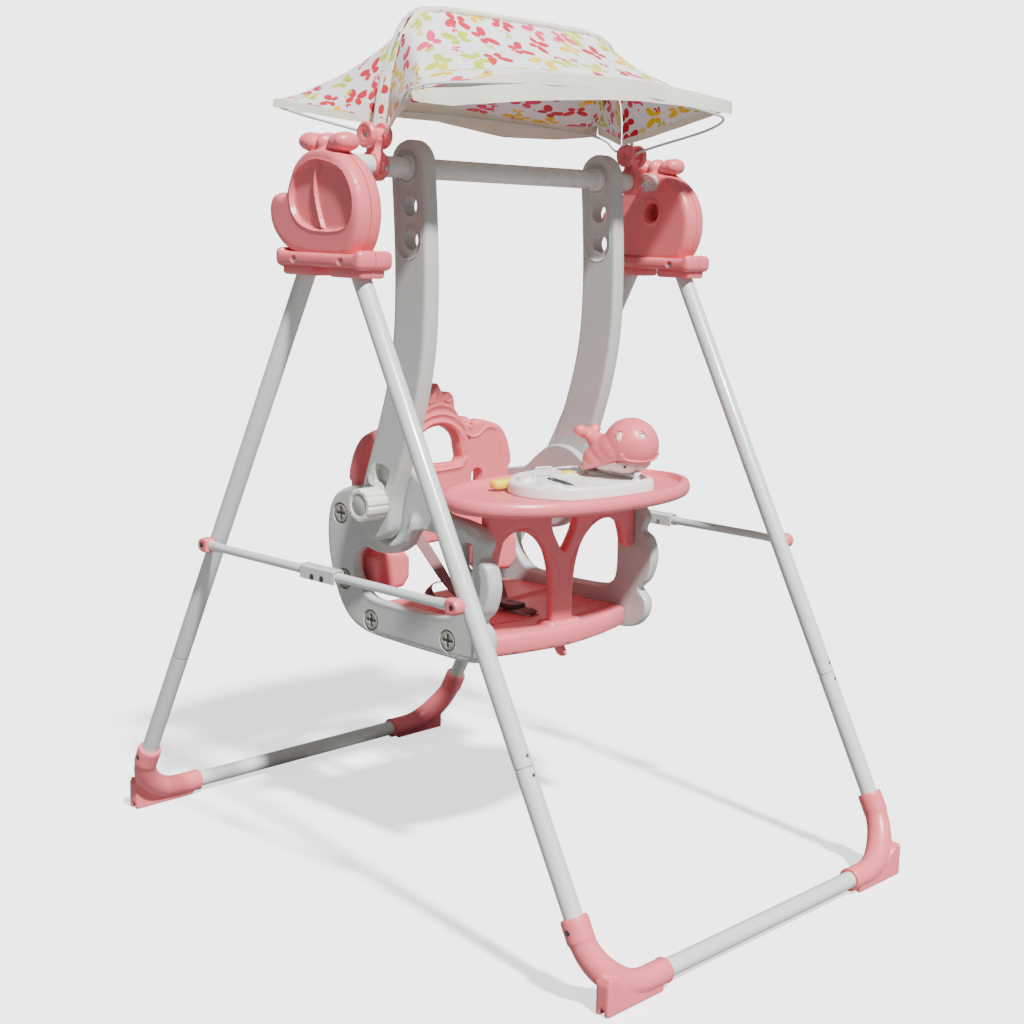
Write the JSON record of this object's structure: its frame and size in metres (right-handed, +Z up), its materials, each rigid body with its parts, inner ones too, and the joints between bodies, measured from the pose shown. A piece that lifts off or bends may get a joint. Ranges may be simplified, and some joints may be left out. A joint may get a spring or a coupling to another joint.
{
  "type": "baby swing",
  "caption": "Free-standing folding baby swing: A-frame on a floor base, hanging moulded seat with tray and toy console, fabric sun canopy.",
  "frame": {"origin": "on the floor under the middle of the crossbar, midway between the four feet", "axes": "+Z up; front (tray and toy) towards -Y; +X to the right as seen from the front, along the crossbar"},
  "size_m": [0.7292, 1.0644, 1.2483],
  "materials": {
    "pink_plastic": "satin moulded",
    "light_grey_plastic": "satin moulded",
    "off_white_plastic": "satin moulded",
    "white_painted_steel": "gloss powder coat",
    "bright_steel": "bright plated",
    "yellow_plastic": "gloss moulded",
    "white_plastic": "gloss moulded",
    "brown_webbing": "woven",
    "dark_buckle_plastic": "matt moulded",
    "canopy_cloth": "printed woven cloth with a bound edge"
  },
  "bodies": {
    "frame": {"crossbar": "white_painted_steel", "left_housing_outer": "pink_plastic", "left_housing_inner": "pink_plastic", "right_housing_outer": "pink_plastic", "right_housing_inner": "pink_plastic", "left_front_leg_pin": "bright_steel", "left_rear_leg_pin": "bright_steel", "right_front_leg_pin": "bright_steel", "right_rear_leg_pin": "bright_steel", "left_canopy_clamp": "pink_plastic", "right_canopy_clamp": "pink_plastic", "left_hub_cap": "pink_plastic", "right_hub_cap": "pink_plastic", "middle_bow": "white_painted_steel", "canopy_front": "canopy_cloth", "canopy_rear": "canopy_cloth"},
    "front_legs": {"front_base_tube": "white_painted_steel", "left_front_leg": "white_painted_steel", "right_front_leg": "white_painted_steel", "left_front_foot": "pink_plastic", "right_front_foot": "pink_plastic"},
    "rear_legs": {"rear_base_tube": "white_painted_steel", "left_rear_leg": "white_painted_steel", "right_rear_leg": "white_painted_steel", "left_rear_foot": "pink_plastic", "right_rear_foot": "pink_plastic"},
    "left_stay_front": {"left_stay_front_bar": "white_painted_steel", "left_stay_front_bracket": "pink_plastic"},
    "left_stay_middle": {"left_stay_hinge": "white_painted_steel"},
    "left_stay_rear": {"left_stay_rear_bar": "white_painted_steel", "left_stay_rear_bracket": "pink_plastic"},
    "right_stay_front": {"right_stay_front_bar": "white_painted_steel", "right_stay_front_bracket": "pink_plastic"},
    "right_stay_middle": {"right_stay_hinge": "white_painted_steel"},
    "right_stay_rear": {"right_stay_rear_bar": "white_painted_steel", "right_stay_rear_bracket": "pink_plastic"},
    "seat": {"left_swing_arm": "light_grey_plastic", "right_swing_arm": "light_grey_plastic", "left_bush": "white_plastic", "right_bush": "white_plastic", "left_side_panel": "light_grey_plastic", "right_side_panel": "light_grey_plastic", "seat_back": "pink_plastic", "seat_pan": "pink_plastic", "waist_strap": "brown_webbing", "crotch_strap": "brown_webbing", "harness_buckle": "dark_buckle_plastic", "tray": "pink_plastic", "tray_support": "pink_plastic", "play_console": "white_plastic", "whale_axle": "bright_steel", "page_rest": "white_plastic"},
    "left_knob": {"left_knob": "off_white_plastic"},
    "right_knob": {"right_knob": "off_white_plastic"},
    "whale": {"whale_body": "pink_plastic", "whale_belly": "white_plastic"},
    "round_button": {"round_button": "yellow_plastic"},
    "side_button": {"side_button": "yellow_plastic"},
    "front_bow": {"front_bow": "white_painted_steel"},
    "rear_bow": {"rear_bow": "white_painted_steel"}
  },
  "joints": [
    {"name": "swing", "type": "hinge", "parent": "frame", "child": "seat", "pos_m": [0, 0, 1.03], "axis": [1, 0, 0], "range_deg": [-30, 30]},
    {"name": "front_leg_fold", "type": "hinge", "parent": "frame", "child": "front_legs", "pos_m": [0, -0.048, 0.901], "axis": [1, 0, 0], "range_deg": [0, 22]},
    {"name": "rear_leg_fold", "type": "hinge", "parent": "frame", "child": "rear_legs", "pos_m": [0, 0.048, 0.901], "axis": [1, 0, 0], "range_deg": [-22, 0]},
    {"name": "left_stay_front_pivot", "type": "hinge", "parent": "front_legs", "child": "left_stay_front", "pos_m": [-0.3555, -0.2692, 0.4802], "axis": [1, 0, 0], "range_deg": [0, 49.04]},
    {"name": "left_stay_front_rivet", "type": "hinge", "parent": "left_stay_front", "child": "left_stay_middle", "pos_m": [-0.3555, -0.0105, 0.4752], "axis": [1, 0, 0], "range_deg": [-71.04, 0]},
    {"name": "left_stay_rear_rivet", "type": "hinge", "parent": "left_stay_middle", "child": "left_stay_rear", "pos_m": [-0.3555, 0.0105, 0.4752], "axis": [1, 0, 0], "range_deg": [-71.04, 0]},
    {"name": "right_stay_front_pivot", "type": "hinge", "parent": "front_legs", "child": "right_stay_front", "pos_m": [0.3555, -0.2692, 0.4802], "axis": [1, 0, 0], "range_deg": [0, 49.04]},
    {"name": "right_stay_front_rivet", "type": "hinge", "parent": "right_stay_front", "child": "right_stay_middle", "pos_m": [0.3555, -0.0105, 0.4752], "axis": [1, 0, 0], "range_deg": [-71.04, 0]},
    {"name": "right_stay_rear_rivet", "type": "hinge", "parent": "right_stay_middle", "child": "right_stay_rear", "pos_m": [0.3555, 0.0105, 0.4752], "axis": [1, 0, 0], "range_deg": [-71.04, 0]},
    {"name": "front_bow_fold", "type": "hinge", "parent": "frame", "child": "front_bow", "pos_m": [0, 0, 1.07], "axis": [-1, 0, 0], "range_deg": [0, 40], "deforming": ["canopy_front"]},
    {"name": "rear_bow_fold", "type": "hinge", "parent": "frame", "child": "rear_bow", "pos_m": [0, 0, 1.07], "axis": [1, 0, 0], "range_deg": [0, 40], "deforming": ["canopy_rear"]},
    {"name": "left_knob_turn", "type": "hinge", "parent": "seat", "child": "left_knob", "pos_m": [-0.226, 0.055, 0.556], "axis": [-1, 0, 0], "range_deg": [-360, 0]},
    {"name": "right_knob_turn", "type": "hinge", "parent": "seat", "child": "right_knob", "pos_m": [0.226, 0.055, 0.556], "axis": [1, 0, 0], "range_deg": [-360, 0]},
    {"name": "whale_tilt", "type": "hinge", "parent": "seat", "child": "whale", "pos_m": [0.048, -0.165, 0.604], "axis": [0.087, -0.9962, 0], "range_deg": [-15, 15]},
    {"name": "round_button_press", "type": "slide", "parent": "seat", "child": "round_button", "axis": [0, 0, -1], "range_m": [0, 0.0025], "stiffness_N_per_m": 200, "springref_m": -0.002},
    {"name": "side_button_press", "type": "slide", "parent": "seat", "child": "side_button", "axis": [1, 0, 0], "range_m": [0, 0.0025], "stiffness_N_per_m": 200, "springref_m": -0.002}
  ],
  "couplings": [
    {"joint": "rear_leg_fold", "follows": "front_leg_fold", "ratio": -1},
    {"joint": "left_stay_front_pivot", "follows": "front_leg_fold", "ratio": 2.22},
    {"joint": "left_stay_front_rivet", "follows": "front_leg_fold", "ratio": -3.22},
    {"joint": "left_stay_rear_rivet", "follows": "front_leg_fold", "ratio": -3.22},
    {"joint": "right_stay_front_pivot", "follows": "front_leg_fold", "ratio": 2.22},
    {"joint": "right_stay_front_rivet", "follows": "front_leg_fold", "ratio": -3.22},
    {"joint": "right_stay_rear_rivet", "follows": "front_leg_fold", "ratio": -3.22}
  ]
}
